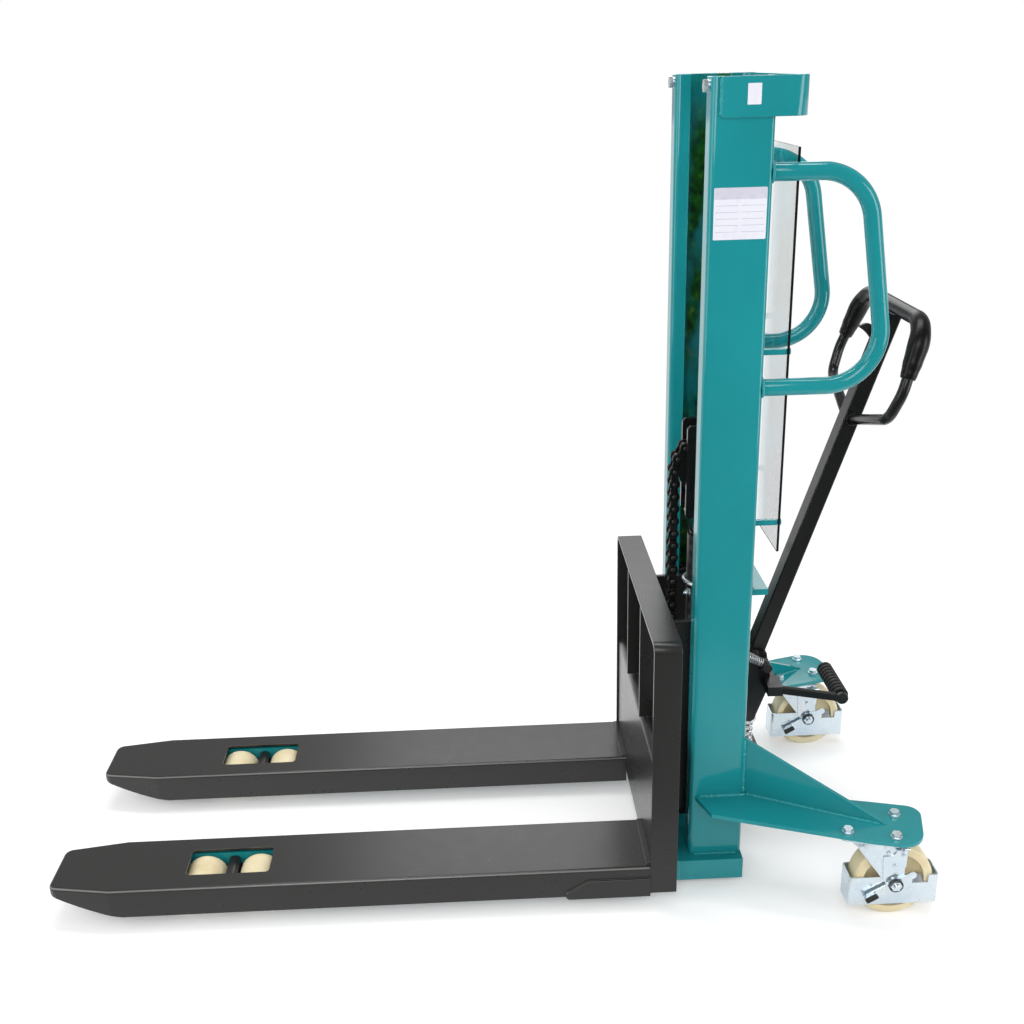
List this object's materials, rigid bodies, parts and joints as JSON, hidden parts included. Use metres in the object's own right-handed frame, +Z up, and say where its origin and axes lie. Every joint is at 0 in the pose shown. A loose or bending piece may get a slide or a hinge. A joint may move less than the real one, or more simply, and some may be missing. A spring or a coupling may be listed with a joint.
{
  "type": "hand stacker",
  "caption": "Manual straddle-mast stacker: chain-lifted forks over roller legs, hand pump with swinging tiller and foot pedal, braked swivel castors, tube push handles and a clear guard screen.",
  "frame": {"origin": "on the floor under the middle of the overall box", "axes": "+X towards the operator, forks to -X, +Y to the right-hand side, +Z up"},
  "size_m": [1.687, 0.7488, 1.51],
  "materials": {
    "teal_paint": "gloss",
    "charcoal_paint": "satin",
    "black_paint": "satin",
    "zinc_plate": "satin",
    "bright_steel": "polished",
    "cream_nylon": "satin",
    "clear_sheet": "gloss",
    "black_rubber": "matte",
    "black_grip": "matte"
  },
  "bodies": {
    "chassis": {"mast_channel_left": "teal_paint", "mast_channel_right": "teal_paint", "mast_head_bracket": "teal_paint", "base_box": "teal_paint", "leg_left": "teal_paint", "leg_right": "teal_paint", "outrigger_left": "teal_paint", "outrigger_right": "teal_paint", "rear_shelf": "teal_paint", "push_handles": "teal_paint", "guard_standoffs": "teal_paint", "guard_screen": "clear_sheet", "frame_bolts": "zinc_plate", "castor_plates": "zinc_plate", "cylinder_barrel": "black_paint", "cylinder_gland": "black_paint", "cylinder_clamp": "zinc_plate", "pump_body": "black_paint", "rocker_pin": "zinc_plate", "chain_fixed_anchor": "black_paint", "chain_back_run": "black_paint", "plunger_spring": "zinc_plate", "return_spring": "zinc_plate"},
    "crosshead": {"crosshead": "charcoal_paint", "piston_rod": "bright_steel", "pulley_pin": "zinc_plate", "chain_wrap": "black_paint", "chain_front_run": "black_paint"},
    "chain_pulley": {"chain_pulley": "black_paint"},
    "carriage": {"carriage_hoop": "charcoal_paint", "carriage_ribs": "charcoal_paint", "carriage_front_plate": "charcoal_paint", "roller_brackets": "charcoal_paint", "carriage_chain_anchor": "charcoal_paint", "fork_left": "charcoal_paint", "fork_right": "charcoal_paint"},
    "guide_rollers_upper": {"guide_rollers_upper": "black_paint"},
    "guide_rollers_lower": {"guide_rollers_lower": "black_paint"},
    "tiller": {"tiller_rocker": "black_paint", "tiller_bar": "charcoal_paint", "tiller_loop": "charcoal_paint", "tiller_grip": "black_grip", "pedal_lever": "charcoal_paint", "pedal_sleeve": "black_rubber"},
    "finger_lever": {"finger_lever": "black_paint"},
    "pump_plunger": {"pump_plunger": "bright_steel"},
    "bogie_left": {"bogie_left": "black_paint"},
    "load_roller_front_left": {"load_roller_front_left": "cream_nylon"},
    "load_roller_rear_left": {"load_roller_rear_left": "cream_nylon"},
    "castor_left": {"castor_fork_left": "zinc_plate", "castor_guard_left": "zinc_plate"},
    "castor_wheel_left": {"castor_wheel_left": "cream_nylon"},
    "castor_brake_left": {"castor_brake_left": "zinc_plate"},
    "bogie_right": {"bogie_right": "black_paint"},
    "load_roller_front_right": {"load_roller_front_right": "cream_nylon"},
    "load_roller_rear_right": {"load_roller_rear_right": "cream_nylon"},
    "castor_right": {"castor_fork_right": "zinc_plate", "castor_guard_right": "zinc_plate"},
    "castor_wheel_right": {"castor_wheel_right": "cream_nylon"},
    "castor_brake_right": {"castor_brake_right": "zinc_plate"}
  },
  "joints": [
    {"name": "crosshead_lift", "type": "slide", "parent": "chassis", "child": "crosshead", "axis": [0, 0, 1], "range_m": [0, 0.4572], "deforming": ["chain_back_run"]},
    {"name": "carriage_lift", "type": "slide", "parent": "crosshead", "child": "carriage", "axis": [0, 0, 1], "range_m": [0, 0.4572], "deforming": ["chain_front_run"]},
    {"name": "pulley_spin", "type": "hinge", "parent": "crosshead", "child": "chain_pulley", "pos_m": [0.446, 0, 0.797], "axis": [0, 1, 0], "continuous": true},
    {"name": "guide_upper_spin", "type": "hinge", "parent": "carriage", "child": "guide_rollers_upper", "pos_m": [0.446, 0, 0.48], "axis": [0, 1, 0], "continuous": true},
    {"name": "guide_lower_spin", "type": "hinge", "parent": "carriage", "child": "guide_rollers_lower", "pos_m": [0.446, 0, 0.14], "axis": [0, 1, 0], "continuous": true},
    {"name": "tiller_swing", "type": "hinge", "parent": "chassis", "child": "tiller", "pos_m": [0.5035, 0, 0.2583], "axis": [0, 1, 0], "range_deg": [0, 50], "stiffness_Nm_per_rad": 25, "springref_deg": -51.57, "deforming": ["return_spring"]},
    {"name": "finger_squeeze", "type": "hinge", "parent": "tiller", "child": "finger_lever", "pos_m": [0.75621, 0, 1.02966], "axis": [0, 1, 0], "range_deg": [0, 10], "stiffness_Nm_per_rad": 0.5, "springref_deg": -17.19},
    {"name": "plunger_stroke", "type": "slide", "parent": "chassis", "child": "pump_plunger", "axis": [0, 0, -1], "range_m": [0, 0.036], "deforming": ["plunger_spring"]},
    {"name": "bogie_rock_left", "type": "hinge", "parent": "chassis", "child": "bogie_left", "pos_m": [-0.5071, -0.195, 0.046], "axis": [0, 1, 0], "range_deg": [-4, 4]},
    {"name": "load_roller_front_left_spin", "type": "hinge", "parent": "bogie_left", "child": "load_roller_front_left", "pos_m": [-0.5601, -0.195, 0.041], "axis": [0, 1, 0], "continuous": true},
    {"name": "load_roller_rear_left_spin", "type": "hinge", "parent": "bogie_left", "child": "load_roller_rear_left", "pos_m": [-0.4541, -0.195, 0.041], "axis": [0, 1, 0], "continuous": true},
    {"name": "castor_swivel_left", "type": "hinge", "parent": "chassis", "child": "castor_left", "pos_m": [0.7145, -0.306, 0.165], "axis": [0, 0, 1], "continuous": true},
    {"name": "castor_wheel_left_spin", "type": "hinge", "parent": "castor_left", "child": "castor_wheel_left", "pos_m": [0.7585, -0.306, 0.075], "axis": [0, 1, 0], "continuous": true},
    {"name": "castor_brake_left_press", "type": "hinge", "parent": "castor_left", "child": "castor_brake_left", "pos_m": [0.7585, -0.306, 0.075], "axis": [0, 1, 0], "range_deg": [0, 20]},
    {"name": "bogie_rock_right", "type": "hinge", "parent": "chassis", "child": "bogie_right", "pos_m": [-0.5071, 0.195, 0.046], "axis": [0, 1, 0], "range_deg": [-4, 4]},
    {"name": "load_roller_front_right_spin", "type": "hinge", "parent": "bogie_right", "child": "load_roller_front_right", "pos_m": [-0.5601, 0.195, 0.041], "axis": [0, 1, 0], "continuous": true},
    {"name": "load_roller_rear_right_spin", "type": "hinge", "parent": "bogie_right", "child": "load_roller_rear_right", "pos_m": [-0.4541, 0.195, 0.041], "axis": [0, 1, 0], "continuous": true},
    {"name": "castor_swivel_right", "type": "hinge", "parent": "chassis", "child": "castor_right", "pos_m": [0.7145, 0.306, 0.165], "axis": [0, 0, 1], "continuous": true},
    {"name": "castor_wheel_right_spin", "type": "hinge", "parent": "castor_right", "child": "castor_wheel_right", "pos_m": [0.7585, 0.306, 0.075], "axis": [0, 1, 0], "continuous": true},
    {"name": "castor_brake_right_press", "type": "hinge", "parent": "castor_right", "child": "castor_brake_right", "pos_m": [0.7585, 0.306, 0.075], "axis": [0, 1, 0], "range_deg": [0, 20]}
  ],
  "couplings": [
    {"joint": "carriage_lift", "follows": "crosshead_lift", "ratio": 1},
    {"joint": "pulley_spin", "follows": "crosshead_lift", "rad_per_m": 15.361},
    {"joint": "guide_upper_spin", "follows": "crosshead_lift", "rad_per_m": -43.478},
    {"joint": "guide_lower_spin", "follows": "crosshead_lift", "rad_per_m": 43.478},
    {"joint": "plunger_stroke", "follows": "tiller_swing", "m_per_rad": 0.041}
  ]
}
